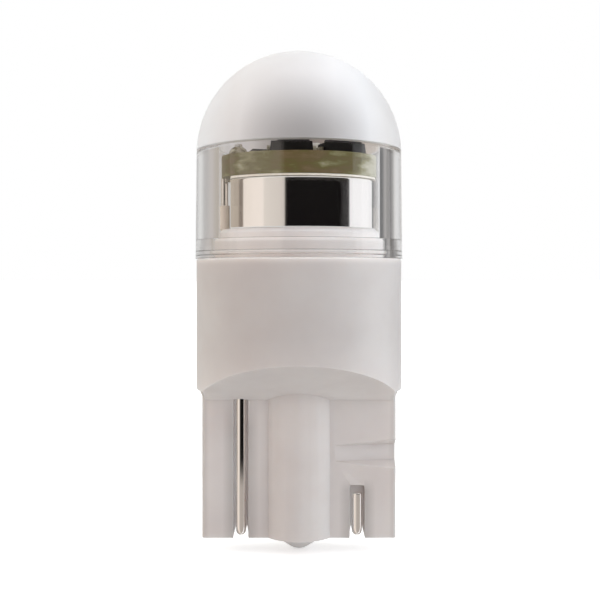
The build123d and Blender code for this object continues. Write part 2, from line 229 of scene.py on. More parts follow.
# %% Studio cards, as (azimuth from the front towards +X, linear colour)
MIRROR_CARDS = [
    (-180, (1.0, 1.0, 1.0)),
    (-166, (0.73, 0.73, 0.71)),
    (-155, (0.46, 0.45, 0.44)),
    (-146, (0.46, 0.44, 0.43)),
    (-138, (0.53, 0.50, 0.48)),
    (-132, (0.54, 0.50, 0.48)),
    (-126, (0.48, 0.44, 0.40)),
    (-120, (0.45, 0.41, 0.36)),
    (-108, (0.52, 0.45, 0.37)),
    (-90, (0.48, 0.41, 0.34)),
    (-87, (0.18, 0.14, 0.11)),
    (-82, (0.18, 0.14, 0.11)),
    (-80, (0.90, 0.81, 0.73)),
    (-50, (0.94, 0.85, 0.78)),
    (-47, (0.76, 0.70, 0.64)),
    (-20, (0.68, 0.62, 0.57)),
    (-18, (0.008, 0.007, 0.007)),
    (71, (0.008, 0.007, 0.007)),
    (73, (1.04, 1.04, 1.06)),
    (118, (1.06, 1.06, 1.08)),
    (119.5, (0.12, 0.12, 0.12)),
    (124, (0.12, 0.12, 0.12)),
    (131, (0.37, 0.35, 0.34)),
    (134, (0.24, 0.23, 0.22)),
    (139, (0.17, 0.16, 0.15)),
    (145, (0.20, 0.19, 0.19)),
    (152, (0.36, 0.35, 0.34)),
    (160, (0.80, 0.79, 0.78)),
    (168, (0.97, 0.97, 0.97)),
    (180, (1.0, 1.0, 1.0)),
]
SOFT_RING = [
    (-180, (0.80, 0.88, 0.86)),
    (-140, (1.50, 1.60, 1.56)),
    (-110, (2.50, 2.56, 2.45)),
    (-80, (2.45, 2.34, 2.20)),
    (-60, (1.20, 1.02, 0.90)),
    (-40, (0.42, 0.24, 0.21)),
    (-20, (0.38, 0.20, 0.19)),
    (0, (0.50, 0.34, 0.34)),
    (20, (1.00, 0.98, 1.00)),
    (40, (1.90, 2.04, 2.16)),
    (60, (2.75, 3.00, 3.22)),
    (80, (3.00, 3.22, 3.45)),
    (100, (2.10, 2.18, 2.34)),
    (120, (0.90, 0.90, 0.94)),
    (150, (0.60, 0.64, 0.66)),
    (180, (0.80, 0.88, 0.86)),
]

# %% [markdown]
# ## Studio light
# The world finds each ray's azimuth and height and looks up its light. Above the cards the
# light is even, and below them the table's grey hides the dark card. A softbox high at the
# right makes the dome's soft highlight. Seen directly, the world is plain white.

# %% Studio light
CARDS_FOOT = (-12.6, -11.5)  # elevations between which the table gives way to the cards
CARDS_TOP = (33, 44)  # elevations between which the cards give way to the light above
TABLE_GREY = (0.46, 0.42, 0.39, 1)
TOP_LEVEL = 0.9  # of the light above for matt surfaces; mirrors see it white
SOFTBOX_DIRECTION = (0.35, 0.0, 0.937)
SOFTBOX_EDGE, SOFTBOX_CORE = 0.90, 0.97  # cosines of the angle from that direction
SOFTBOX_LEVEL = 1.8


def by_height(tree, up, low, high):
    """0 below the low elevation and 1 above the high one, in degrees; up is the sine of it."""
    place = maths(tree, "MULTIPLY_ADD", up, 0.5, 0.5)
    stops = [0.5 + 0.5 * np.sin(np.radians(angle)) for angle in (low, high)]
    return ramp(tree, place, [(stops[0], grey(0)), (stops[1], WHITE)])


def studio_world():
    """World whose light depends on azimuth, by atan2(x, -y), and on height."""
    world = bpy.data.worlds.new("studio")
    world.use_nodes = True
    tree = world.node_tree
    tree.nodes.clear()
    direction = node(tree, "TexCoord")
    x, y, z = axes(tree, direction)
    turn = maths(tree, "ARCTAN2", x, maths(tree, "MULTIPLY", y, -1.0))
    place = maths(tree, "MULTIPLY_ADD", turn, 1 / (2 * np.pi), 0.5)
    cards, ring = (
        ramp(tree, place, [(azimuth / 360 + 0.5, (*level, 1)) for azimuth, level in stops])
        for stops in (MIRROR_CARDS, SOFT_RING)
    )
    above_foot, above_top = (by_height(tree, z, *stops) for stops in (CARDS_FOOT, CARDS_TOP))
    cards = mix(tree, above_foot, mix(tree, 1.0, cards, TABLE_GREY, "LIGHTEN"), cards)
    cards = mix(tree, above_top, cards, WHITE)
    toward = node(tree, "VectorMath", {0: direction, 1: SOFTBOX_DIRECTION}, output=1,
                  operation="DOT_PRODUCT")
    softbox = fade(tree, toward, SOFTBOX_EDGE, SOFTBOX_CORE, unit=1)
    cards = mix(tree, softbox, cards, grey(SOFTBOX_LEVEL))
    ring = mix(tree, above_top, ring, grey(TOP_LEVEL))
    path = tree.nodes.new("ShaderNodeLightPath")
    level = mix(tree, path.outputs["Is Diffuse Ray"], cards, ring)
    level = mix(tree, path.outputs["Is Camera Ray"], level, WHITE)
    out = tree.nodes.new("ShaderNodeOutputWorld")
    light = node(tree, "Background", {"Color": level, "Strength": 1.0})
    tree.links.new(light, out.inputs["Surface"])
    bpy.context.scene.world = world


studio_world()
bpy.context.scene.view_settings.view_transform = "Standard"
print("studio with", len(MIRROR_CARDS), "mirror stops and", len(SOFT_RING), "soft stops")

# %% [markdown]
# ## Floor
# The lamp stands on its cone's tip on a white card, which lights the blade from below, with
# a grey table beyond. Both glow for the camera, so that they melt into the white backdrop,
# and a little for rays through clear plastic. For all other rays they are plain matt
# surfaces, and the lamp's soft shadow stays visible on them.

# %% Floor
FLOOR_HEIGHT = -0.03  # from the cone's tip, so that the tip stays clear of the table
FLOOR_HALF_SIZE = 2.0  # in metres
CARD_RADIUS, CARD_EDGE = 17.0, 2.0  # the card's radius, and half the width of its soft edge
CARD_LEVEL = 0.94
TABLE_PATCHES = [(0.3, (0.46, 0.46, 0.46, 1)), (0.7, (0.50, 0.50, 0.50, 1))]
CARD_GLOW, TABLE_GLOW = 0.5, 0.75  # as the camera sees them
GLOW_THROUGH_PLASTIC = 0.25


def floor_surface():
    """Large flat table as one square, with a glow that only the camera and glass see."""
    half, level = FLOOR_HALF_SIZE, cad_box[0][2] + FLOOR_HEIGHT * MM
    signs = ((-1, -1), (1, -1), (1, 1), (-1, 1))
    mesh = bpy.data.meshes.new("floor")
    mesh.from_pydata([(x * half, y * half, level) for x, y in signs], [], [(0, 1, 2, 3)])
    floor = bpy.data.objects.new("floor", mesh)
    material, tree, shader = finish("pale_table", grey(0.9), Roughness=0.9)
    table = ramp(tree, grain(tree, 0.02, 3.0), TABLE_PATCHES)
    reach = node(tree, "VectorMath", {0: object_place(tree)}, output=1, operation="LENGTH")
    past_card = fade(tree, reach, CARD_RADIUS - CARD_EDGE, CARD_RADIUS + CARD_EDGE)
    tint = mix(tree, past_card, grey(CARD_LEVEL), table)
    tree.links.new(tint, shader.inputs["Base Color"])
    path = tree.nodes.new("ShaderNodeLightPath")
    sockets = {"Value": past_card, "To Min": CARD_GLOW, "To Max": TABLE_GLOW}
    level = node(tree, "MapRange", sockets)
    seen = maths(tree, "MULTIPLY", path.outputs["Is Camera Ray"], level)
    through = path.outputs["Is Transmission Ray"]
    glow = maths(tree, "MULTIPLY_ADD", through, GLOW_THROUGH_PLASTIC, seen)
    shader.inputs["Emission Color"].default_value = WHITE
    tree.links.new(glow, shader.inputs["Emission Strength"])
    mesh.materials.append(material)
    floor.visible_glossy = False
    bpy.context.scene.collection.objects.link(floor)


floor_surface()
print("floor at", round(cad_box[0][2] / MM + FLOOR_HEIGHT, 2), "mm")

# %% [markdown]
# ## Surfaces from arrays
# Most pieces of a lamp are turned, or are wire. Both are a grid of points: a turned piece is
# a half section carried round the axis, and a wire is a circle carried along a path. Numpy
# works out the whole grid at once, and one function puts any grid into a mesh. Corners get
# a small arc, with a support point beside it, so that flat faces stay flat in the smooth
# shading and in the refraction.

# %% Surface helpers
SUPPORT_REACH = 1.4  # of a support point from its corner, in corner radii
GRID_MERGE, COPY_MERGE = 2e-7, 1e-7  # metres within which points are one
FLAT_ANGLE = 0.5  # degrees within which joined faces are one flat face


def rounded(corners, radii, steps=6, closed=True):
    """Rounds the corners of a section or route.

    Each corner P becomes the curve (1-s)^2 A + 2s(1-s) P + s^2 B, where A and B lie on the
    two runs at the corner's radius from P, with a support point a little further out.
    """
    points = np.array(corners, float)
    reach = np.broadcast_to(np.array(radii, float), len(points))[:, None]
    before = np.roll(points, 1, axis=0) - points
    after = np.roll(points, -1, axis=0) - points
    before /= np.maximum(np.linalg.norm(before, axis=1, keepdims=True), 1e-9)
    after /= np.maximum(np.linalg.norm(after, axis=1, keepdims=True), 1e-9)
    s = np.linspace(0, 1, steps + 1)[None, :, None]
    a, b = points + reach * before, points + reach * after
    arcs = (1 - s) ** 2 * a[:, None] + 2 * s * (1 - s) * points[:, None] + s**2 * b[:, None]
    near, far = (points + SUPPORT_REACH * reach * run for run in (before, after))
    curve = np.concatenate([near[:, None], arcs, far[:, None]], axis=1)
    curve = curve.reshape(-1, points.shape[1])
    if closed:
        return curve
    count = steps + 3
    return np.concatenate([points[:1], curve[count:-count], points[-1:]])


def grid_piece(name, grid, material, replaces, closed_rows=True, sharp=30):
    """Mesh from a grid of points in millimetres whose columns close on themselves.

    The quad at row i and column j joins (i, j), (i, j+1), (i+1, j+1) and (i+1, j); points
    that fall together, as at a pole, are merged, and the normals are turned outwards.
    """
    rows, columns, _ = grid.shape
    steps = np.arange(rows - (not closed_rows)), np.arange(columns)
    row, column = np.meshgrid(*steps, indexing="ij")
    next_row, next_column = (row + 1) % rows, (column + 1) % columns
    quads = np.stack([
        row * columns + column,
        row * columns + next_column,
        next_row * columns + next_column,
        next_row * columns + column,
    ], axis=-1).reshape(-1, 4)
    mesh = bpy.data.meshes.new(name)
    mesh.from_pydata((grid.reshape(-1, 3) * MM).tolist(), [], quads.tolist())
    shape = bmesh.new()
    shape.from_mesh(mesh)
    bmesh.ops.remove_doubles(shape, verts=shape.verts, dist=GRID_MERGE)
    bmesh.ops.recalc_face_normals(shape, faces=shape.faces)
    shape.to_mesh(mesh)
    shape.free()
    return place_piece(name, mesh, material, replaces, sharp)


def place_piece(name, mesh, material, replaces, sharp=30):
    """Shades a mesh smoothly up to a sharp angle and sets it in the frame for its node."""
    mesh.shade_smooth()
    mesh.set_sharp_from_angle(angle=np.radians(sharp))
    mesh.materials.clear()
    mesh.materials.append(material)
    piece = bpy.data.objects.new(name, mesh)
    bpy.context.scene.collection.objects.link(piece)
    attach(piece, "root")
    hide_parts(replaces)
    print(name, len(mesh.polygons), "faces")
    return piece


def turned(section, segments=192):
    """Grid of a section's (radius, z) points carried round Z by (r cos t, r sin t, z)."""
    turn = np.linspace(0, 2 * np.pi, segments, endpoint=False)
    radius, height = section[:, :1], section[:, 1:]
    return np.stack([radius * np.cos(turn), radius * np.sin(turn), height + 0 * turn], axis=-1)


def wire(route, diameter, side, tip=0.04, segments=32):
    """Grid of a circle carried along a route, square to it, with softly broken ends.

    At each point the circle lies in the plane of two unit vectors: the given side direction
    less its part along the route, and the cross product of the route and that. The rings of
    a tip follow a quarter circle up to s = 1. The last one, past it, lies on the straight
    run at full width, so that the tip doesn't tilt the shading of the run.
    """
    along = np.gradient(route, axis=0)
    along /= np.linalg.norm(along, axis=1, keepdims=True)
    side = np.array(side, float)
    first = side - along * (along @ side)[:, None]
    first /= np.linalg.norm(first, axis=1, keepdims=True)
    second = np.cross(along, first)
    s = np.array([0.0, 0.5, 0.85, 1.0, 1.6])
    shrink = diameter / 2 - tip * (1 - np.sin(np.pi / 2 * np.minimum(s, 1)))
    straight = np.full(len(route) - 2, diameter / 2)
    radii = np.concatenate([[0], shrink, straight, shrink[::-1], [0]])
    inwards = np.concatenate([[0], tip * s])[:, None]
    start, end = route[:1] + along[:1] * inwards, route[-1:] - along[-1:] * inwards[::-1]
    centre = np.concatenate([start, route[1:-1], end])
    ends = len(inwards)
    first, second = (
        np.concatenate([np.repeat(unit[:1], ends, 0), unit[1:-1], np.repeat(unit[-1:], ends, 0)])
        for unit in (first, second)
    )
    turn = np.linspace(0, 2 * np.pi, segments, endpoint=False)[None, :, None]
    circle = np.cos(turn) * first[:, None] + np.sin(turn) * second[:, None]
    return centre[:, None] + radii[:, None, None] * circle


def half_turned(grid):
    """The same grid turned half round about Z, for the lamp's other side."""
    return grid * np.array([-1, -1, 1])


def softened(node_name, width, material, sharp=30):
    """Copy of a CAD node with joined triangles, whole flat faces and broken edges."""
    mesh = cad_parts[node_name].data.copy()
    mesh.name = node_name + "_dressed"
    shape = bmesh.new()
    shape.from_mesh(mesh)
    bmesh.ops.remove_doubles(shape, verts=shape.verts, dist=COPY_MERGE)
    bmesh.ops.dissolve_limit(shape, angle_limit=np.radians(FLAT_ANGLE), verts=shape.verts,
                             edges=shape.edges)
    bmesh.ops.recalc_face_normals(shape, faces=shape.faces)
    shape.to_mesh(mesh)
    shape.free()
    piece = place_piece(node_name + "_dressed", mesh, material, node_name, sharp)
    bevel = piece.modifiers.new("broken_edges", "BEVEL")
    bevel.width = width * MM
    bevel.segments = 2
    bevel.limit_method = "ANGLE"
    bevel.angle_limit = np.radians(sharp)
    bevel.harden_normals = True
    bevel.use_clamp_overlap = True
    return piece


# %% [markdown]
# ## Base body
# The base is one moulding in pale, slightly see-through plastic. Its form is all in CAD, so
# a copy of that mesh is enough, with its edges broken as a mould leaves them. The plastic is
# made lively by light that scatters under the skin, faint clouds in its colour and a very
# fine grain on its surface. Its colour also carries painted light and shade over the height,
# darker on the collar and lighter on the spigot, and painted shade beside the contact wires
# and at the blade's side edges.

# %% Base body
TONE_HEIGHT = 20  # height over which the ramp of the painted light and shade runs
# (z, level) of the painted light and shade, from the blade's end over the collar to the thin
# spigot
HEIGHT_LIGHT_AND_SHADE = [
    (0.9, 0.74), (2.8, 0.77), (4.8, 0.80), (6.6, 0.85), (7.5, 0.79), (10.0, 0.72),
    (13.4, 0.74), (13.7, 0.95), (13.87, 0.93), (14.03, 0.83), (14.4, 0.83), (14.57, 1.0),
]
WIRE_OFFSET = 2.85  # X of the contact wires and of their grooves
# (distance from that X, level) of the painted shade: dim in the groove, darkest at its edge,
# then fading out
GROOVE_SHADE_LEVELS = [(0.0, 0.88), (0.35, 0.88), (0.38, 0.68), (0.9, 1.0)]
LONG_GROOVE_END, SHORT_GROOVE_END = (7.2, 5.4), (2.9, 2.3)  # Z without and with that tone
EDGE_DIMMING = 0.22
EDGE_START = (4.4, 4.7)  # |X| between which the blade's side edge grows dimmer
EDGE_TOP = (7.3, 7.0)  # Z above which it isn't, and below which it is


def groove_shade(tree, x, y, z):
    """Painted shade in and beside the wire grooves: level = 1 - below * (1 - tone).

    tone goes by ||x| - WIRE_OFFSET|, and below is 1 beneath the groove's top, which is high
    where x y > 0 and low on the other two sides.
    """
    across = maths(tree, "SUBTRACT", maths(tree, "ABSOLUTE", x), WIRE_OFFSET * MM)
    across = maths(tree, "DIVIDE", maths(tree, "ABSOLUTE", across), 1.0 * MM)
    tone = ramp(tree, across, [(place, grey(level)) for place, level in GROOVE_SHADE_LEVELS])
    long_side = maths(tree, "GREATER_THAN", maths(tree, "MULTIPLY", x, y), 0.0)
    long_groove, short_groove = fade(tree, z, *LONG_GROOVE_END), fade(tree, z, *SHORT_GROOVE_END)
    below = mix(tree, long_side, short_groove, long_groove)
    return mix(tree, below, WHITE, tone)


def edge_shade(tree, x, z):
    """Painted shade at the blade's rounded side edges: level = 1 - EDGE_DIMMING * near * below.

    near grows from 0 to 1 as |x| goes through EDGE_START, and below is 1 under the collar.
    """
    near = fade(tree, maths(tree, "ABSOLUTE", x), *EDGE_START)
    depth = maths(tree, "MULTIPLY", near, fade(tree, z, *EDGE_TOP))
    return maths(tree, "MULTIPLY_ADD", depth, -EDGE_DIMMING, 1.0)


def base_plastic():
    """Pale cloudy plastic with painted light and shade over the height, grooves and edges."""
    sockets = {
        "Roughness": 0.36, "IOR": 1.5, "Subsurface Weight": 0.4,
        "Subsurface Radius": (1.0, 0.85, 0.75), "Subsurface Scale": 1.0 * MM,
    }
    material, tree, shader = finish("base_plastic", colour(236, 230, 226), **sockets)
    clouds = grain(tree, 0.35, 3.0)
    tint = ramp(tree, clouds, [(0.3, colour(232, 225, 221)), (0.7, colour(240, 235, 231))])
    x, y, z = axes(tree, object_place(tree))
    # Painted light and shade over the height, and painted shade at the grooves and at the
    # blade's edges
    height = maths(tree, "DIVIDE", z, TONE_HEIGHT * MM)
    stops = [(place / TONE_HEIGHT, grey(level)) for place, level in HEIGHT_LIGHT_AND_SHADE]
    tones = ramp(tree, height, stops), groove_shade(tree, x, y, z), edge_shade(tree, x, z)
    for tone in tones:
        tint = mix(tree, 1.0, tint, tone, "MULTIPLY")
    tree.links.new(tint, shader.inputs["Base Color"])
    sheen = grain(tree, 1.5, 4.0)
    vary(tree, shader, "Roughness", sheen, [(0.35, grey(0.32)), (0.65, grey(0.42))])
    bumped(tree, shader, grain(tree, 14, 3.0), 0.004, 0.5)
    return material


softened("base_body", 0.05, base_plastic())

# %% [markdown]
# ## Clear sleeve
# The sleeve is a clear tube that snaps over a bead on the base. What it shows is refraction:
# bright and dark rings where its counterbore and groove bend the light. That only comes out
# of a true section with true corners, so the section repeats the CAD one and is carried
# round the axis with many segments.

# %% Clear sleeve
SLEEVE_BORE = 4.03
SLEEVE_SHOULDER = 4.30
SLEEVE_GROOVE = 4.40
SLEEVE_FOOT_FLARE = 0.05
SHOULDER_TOP = 0.95  # above the collar
GROOVE_LOW, GROOVE_HIGH = 0.16, 0.39  # above the collar
GROOVE_FLANK = 0.02  # height that each sloping flank takes
# Radii of the section's corners, in the order of its points
SLEEVE_CORNERS = (0.03, 0.04, 0.003, 0.003, 0.015, 0.015, 0.01, 0.01, 0.01, 0.01)
FOOT_GAP = 0.002  # to the collar
RIM_LAP = 0.004  # of the dome's rim into the sleeve's top, so that no air film mirrors there


def clear_plastic():
    """Clear plastic with hardly visible patches that are a little less smooth."""
    sockets = {"Roughness": 0.0, "IOR": 1.52, "Transmission Weight": 1.0}
    material, tree, shader = finish("clear_plastic", grey(0.985), **sockets)
    film = grain(tree, 0.6, 3.0)
    vary(tree, shader, "Roughness", film, [(0.45, grey(0.0)), (0.8, grey(0.02))])
    return material


def sleeve_section():
    """Closed (radius, z) section of the sleeve, anticlockwise from its foot."""
    foot, top = collar_top + FOOT_GAP, dome_joint
    corners = [
        (SLEEVE_SHOULDER, foot),
        (body_radius + SLEEVE_FOOT_FLARE, foot),
        (body_radius, top),
        (SLEEVE_BORE, top),
        (SLEEVE_BORE, collar_top + SHOULDER_TOP),
        (SLEEVE_SHOULDER, collar_top + SHOULDER_TOP),
        (SLEEVE_SHOULDER, collar_top + GROOVE_HIGH),
        (SLEEVE_GROOVE, collar_top + GROOVE_HIGH - GROOVE_FLANK),
        (SLEEVE_GROOVE, collar_top + GROOVE_LOW + GROOVE_FLANK),
        (SLEEVE_SHOULDER, collar_top + GROOVE_LOW),
    ]
    return rounded(corners, SLEEVE_CORNERS)


sleeve = grid_piece("sleeve", turned(sleeve_section(), 256), clear_plastic(),
                    "clear_sleeve")
# Soft light passes the clear wall unchanged, which keeps the inside bright
sleeve.visible_diffuse = False
sleeve.visible_shadow = False

# %% [markdown]
# ## Opal dome
# The dome is a hollow half ball of opal plastic, 1 mm thick. Opal plastic scatters the light
# so much that the black diodes under it show only as a soft dark shade, low at the front and
# at the back. Tracing that blur through the wall takes very many samples, so the plastic's
# own colour carries that shade as painted shade, by the angle from the diodes and by the
# height over the joint. It also carries painted light and shade at the two sides, and a
# painted shade on the inner face.

# %% Opal dome
DOME_WALL = 1.0
DIODE_SHADE_AZIMUTH = np.radians(4)  # of the front diodes' middle, from the front towards +X
DIODE_SHADE_HEIGHT = 3.6
DIODE_SHADE_TINT = (182, 180, 179)
BALL_DROP = 0.225  # of the ball's centre below the joint
INNER_FACE = (4.9, 4.3)  # distance from that centre outside the inner face, and inside it
INNER_FACE_SHADE = (0.78, 0.71, 0.67, 1)
# (X over the dome's radius, level of painted light and shade), from left to right
DOME_SIDE_LIGHT_AND_SHADE = [
    (-0.85, (1.06, 1.09, 1.12)),
    (-0.6, (1.0, 1.0, 1.0)),
    (0.1, (1.0, 1.0, 1.0)),
    (0.32, (1.05, 1.05, 1.05)),
    (0.6, (0.97, 0.97, 0.97)),
    (0.82, (0.90, 0.88, 0.86)),
]


def painted_diode_shade(tree, place):
    """Painted shade of the diodes under the dome: shade = near * low.

    near is 1.4 cos(2 t) - 0.4, never below 0, where t is the angle about the axis from the
    diodes' middle, and low falls from 1 at the joint to 0 at the shade's height.
    """
    sockets = {"Vector": place, "Angle": -DIODE_SHADE_AZIMUTH}
    x, y, z = axes(tree, node(tree, "VectorRotate", sockets, rotation_type="Z_AXIS"))
    twice = maths(tree, "MULTIPLY", maths(tree, "ARCTAN2", x, y), 2.0)
    wave = maths(tree, "COSINE", twice)
    near = maths(tree, "MULTIPLY_ADD", wave, 1.4, -0.4, use_clamp=True)
    low = fade(tree, z, dome_joint + DIODE_SHADE_HEIGHT, dome_joint, interpolation_type="SMOOTHSTEP")
    return maths(tree, "MULTIPLY", near, low)


def opal_plastic():
    """Milky plastic; painted shade of the diodes and inner face, painted light and shade at its
    sides.
    """
    sockets = {
        "Roughness": 0.38, "IOR": 1.4, "Transmission Weight": 0.1, "Subsurface Weight": 0.25,
        "Subsurface Scale": 0.4 * MM, "Subsurface Radius": (1.0, 0.95, 0.9),
    }
    material, tree, shader = finish("opal_plastic", colour(240, 240, 239), **sockets)
    place = object_place(tree)
    milk = grain(tree, 0.5, 3.0)
    milk = ramp(tree, milk, [(0.3, colour(235, 235, 235)), (0.7, colour(239, 239, 239))])
    # Painted shade of the diodes, low at the front and at the back
    shade = mix(tree, painted_diode_shade(tree, place), milk, colour(*DIODE_SHADE_TINT))
    # Painted light at the left edge and a little right of the middle, painted shade towards the
    # right edge
    across = fade(tree, axes(tree, place)[0], -body_radius, body_radius)
    tone = ramp(tree, across, [(0.5 + x / 2, (*level, 1)) for x, level in DOME_SIDE_LIGHT_AND_SHADE])
    shade = mix(tree, 1.0, shade, tone, "MULTIPLY")
    # Painted shade on the inner face, which gets less light than the outer one and lies nearer
    # to the ball's centre
    sockets = {0: place, 1: (0, 0, (dome_joint - BALL_DROP) * MM)}
    reach = node(tree, "VectorMath", sockets, output=1, operation="DISTANCE")
    dim = mix(tree, 1.0, shade, INNER_FACE_SHADE, "MULTIPLY")
    shade = mix(tree, fade(tree, reach, *INNER_FACE), shade, dim)
    tree.links.new(shade, shader.inputs["Base Color"])
    bumped(tree, shader, grain(tree, 10, 3.0), 0.003, 0.4)
    return material


def ball_arc(rim_radius, height, rim_z, steps=64):
    """Arc of a ball from its rim to its pole, as (radius, z) points at equal angles."""
    radius = (rim_radius**2 + height**2) / (2 * height)
    centre = rim_z + height - radius
    start = np.arcsin((rim_z - centre) / radius)
    angle = np.linspace(start, np.pi / 2, steps)
    return np.stack([radius * np.cos(angle), centre + radius * np.sin(angle)], axis=1)


def dome_section():
    """Outer arc up to the pole, then the inner arc back down to the rim."""
    rim = dome_joint - RIM_LAP
    height = dome_top - rim
    outer = ball_arc(body_radius - RIM_LAP, height, rim)
    inner = ball_arc(body_radius - DOME_WALL, height - DOME_WALL, rim)[::-1]
    rim_line = np.linspace(inner[-1], outer[0], 6)[1:-1]
    section = np.concatenate([outer, inner, rim_line])
    return np.maximum(section, [0, 0])


dome = grid_piece("dome", turned(dome_section()), opal_plastic(), "dome_diffuser")
# Opal plastic passes most of the soft light, which lights the board and the dome's inside
dome.visible_diffuse = False
dome.visible_shadow = False

# %% [markdown]
# ## Contact wires
# Two plated wires come down the blade's faces, fold under it and end behind. Each is a
# circle carried along its route. Drawing leaves fine lines along a wire, so the bump is a
# noise stretched along the route's upright direction, over a bright metal.

# %% Contact wires
WIRE_DIAMETER = 0.48
WIRE_LINE = 0.95  # Y of the wire on the blade's faces
WIRE_BEND = 0.3
WIRE_END_HEIGHT = 2.21  # of the end behind the blade


def plated(name, tint, roughness):
    """Bright plating with drawn lines along Z and small dull patches."""
    material, tree, shader = finish(name, colour(*tint), Metallic=1.0, Roughness=roughness)
    stops = [(0.35, grey(roughness * 0.8)), (0.75, grey(roughness * 1.5))]
    vary(tree, shader, "Roughness", grain(tree, 1.2, 4.0), stops)
    bumped(tree, shader, grain(tree, 12, 2.0, stretch=(1, 1, 0.02)), 0.0006, 0.3)
    return material


def contact_wire_route():
    """Down the front face, under the blade and up behind it, with round bends."""
    low, high = span("contact_wire_left")
    bottom = low[2] + WIRE_DIAMETER / 2
    corners = [
        (-WIRE_OFFSET, -WIRE_LINE, high[2]),
        (-WIRE_OFFSET, -WIRE_LINE, bottom),
        (-WIRE_OFFSET, WIRE_LINE, bottom),
        (-WIRE_OFFSET, WIRE_LINE, WIRE_END_HEIGHT),
    ]
    return rounded(corners, WIRE_BEND, 10, closed=False)


contact_plating = plated("contact_wire", (244, 240, 236), 0.05)
contact_wire = wire(contact_wire_route(), WIRE_DIAMETER, (1, 0, 0))
for side, grid in (("left", contact_wire), ("right", half_turned(contact_wire))):
    piece = grid_piece(f"contact_{side}", grid, contact_plating,
                       f"contact_wire_{side}", closed_rows=False)
    # The pale plastic passes light round the wire, so the groove beside it stays light
    piece.visible_diffuse = False

# %% [markdown]
# ## Board leads and insulators
# A thinner lead goes on from each contact wire, bends out beside the heat sink and in again
# through a slot in the board. A short cream tube insulates it where it leaves the base.

# %% Board leads and insulators
LEAD_DIAMETER = 0.38
LEAD_TURN = np.radians(193)  # azimuth of the left lead, from +X
LEAD_RISE_RADIUS = 3.73
LEAD_TOP_RADIUS = 3.03
LEAD_JOG = (1.1, 2.7)  # heights over its start between which it leaves the wire's line
LEAD_BENDS = (0, 0.15, 0.15, 0.1, 0.1, 0)  # radii at its corners
INSULATOR_DIAMETER = 0.54
INSULATOR_PLAY = 0.02  # between the lead and its tube
INSULATOR_ROUND = 0.03  # of the tube's ends


def beside_lead(radius, z):
    """Point at the left lead's azimuth."""
    return (radius * np.cos(LEAD_TURN), radius * np.sin(LEAD_TURN), z)


def lead_route():
    """The lead's corners from the contact wire to its tip above the board."""
    low, high = span("board_lead_left")
    corners = [
        (-WIRE_OFFSET, -WIRE_LINE, low[2]),
        (-WIRE_OFFSET, -WIRE_LINE, low[2] + LEAD_JOG[0]),
        beside_lead(LEAD_RISE_RADIUS, low[2] + LEAD_JOG[1]),
        beside_lead(LEAD_RISE_RADIUS, board_low),
        beside_lead(LEAD_TOP_RADIUS, board_high - LEAD_DIAMETER),
        beside_lead(LEAD_TOP_RADIUS, high[2]),
    ]
    return rounded(corners, LEAD_BENDS, 10, closed=False)


def insulator_finish():
    """Cream plastic with faint streaks along the tube."""
    material, tree, shader = finish("insulator", colour(246, 234, 216), Roughness=0.5)
    streaks = grain(tree, 3.0, 3.0, stretch=(1, 1, 0.2))
    stops = [(0.3, colour(240, 226, 206)), (0.7, colour(250, 240, 226))]
    vary(tree, shader, "Base Color", streaks, stops)
    bumped(tree, shader, streaks, 0.01, 0.4)
    return material


def tube_section(inner, outer, low, high):
    """Closed (radius, z) section of a short tube with softened ends."""
    corners = [(inner, low), (outer, low), (outer, high), (inner, high)]
    return rounded(corners, INSULATOR_ROUND, 4)


across_lead = (-np.sin(LEAD_TURN), np.cos(LEAD_TURN), 0)
lead = wire(lead_route(), LEAD_DIAMETER, across_lead, segments=24)
tin = plated("tinned_lead", (236, 232, 228), 0.1)
cream = insulator_finish()
inner, outer = LEAD_DIAMETER / 2 + INSULATOR_PLAY, INSULATOR_DIAMETER / 2
foot, top = (corner[2] for corner in span("lead_insulator_left"))
tube = turned(tube_section(inner, outer, foot, top), 32)
tube = tube + np.array(beside_lead(LEAD_RISE_RADIUS, 0))
for side, turn in (("left", lambda grid: grid), ("right", half_turned)):
    grid_piece(f"lead_{side}", turn(lead), tin, f"board_lead_{side}",
               closed_rows=False)
    grid_piece(f"insulator_{side}", turn(tube), cream, f"lead_insulator_{side}")

# %% [markdown]
# ## Heat sink
# The slug is turned from bright metal, with a flat beside each lead, and a thin pale pad
# with the same outline lies on it. The outline is a circle cut by two straight lines, which
# is one formula in polar form. Turning leaves very fine rings, so the bump is a noise
# squeezed along Z.

# %% Heat sink
SINK_RADIUS = 3.82
SINK_FLAT = 3.43
SINK_FOOT_ROUND, SINK_TOP_ROUND, PAD_ROUND = 0.05, 0.12, 0.01
SOCKET_RADIUS, SOCKET_DEPTH = 2.0, 0.35
EDGE_REACH = 1.5  # of the support points from a disc's edge, in radii of its rounding
SIDE_COLUMNS = 120  # of the grid along each flat and each round side


def polished_metal():
    """Mirror-bright metal with fine turned rings."""
    sockets = {"Metallic": 1.0, "Roughness": 0.03}
    material, tree, shader = finish("polished_metal", colour(247, 245, 243), **sockets)
    rings = grain(tree, 1.0, 2.0, stretch=(0.3, 0.3, 30))
    vary(tree, shader, "Roughness", rings, [(0.3, grey(0.02)), (0.7, grey(0.04))])
    bumped(tree, shader, rings, 0.0006, 0.3)
    return material


def disc_profile(radius, low, high, low_round, high_round, socket=0.0):
    """(radius, z) points of a disc's half section, from its lower middle to its upper one."""
    turn = np.linspace(0, np.pi / 2, 7)[:, None]
    inset, lift = 1 - np.sin(turn), 1 - np.cos(turn)
    foot = np.hstack([radius - low_round * inset, low + low_round * lift])
    top = np.hstack([radius - high_round * lift, high - high_round * inset])
    inside = [(0, low)]
    if socket:
        inside = [(0, low + socket), (SOCKET_RADIUS, low + socket), (SOCKET_RADIUS, low)]
    low_reach, high_reach = EDGE_REACH * low_round, EDGE_REACH * high_round
    near_foot, near_top = [(radius - low_reach, low)], [(radius - high_reach, high)]
    sides = [(radius, low + low_reach), (radius, high - high_reach)]
    return np.concatenate([inside, near_foot, foot, sides, top, near_top, [(0, high)]])


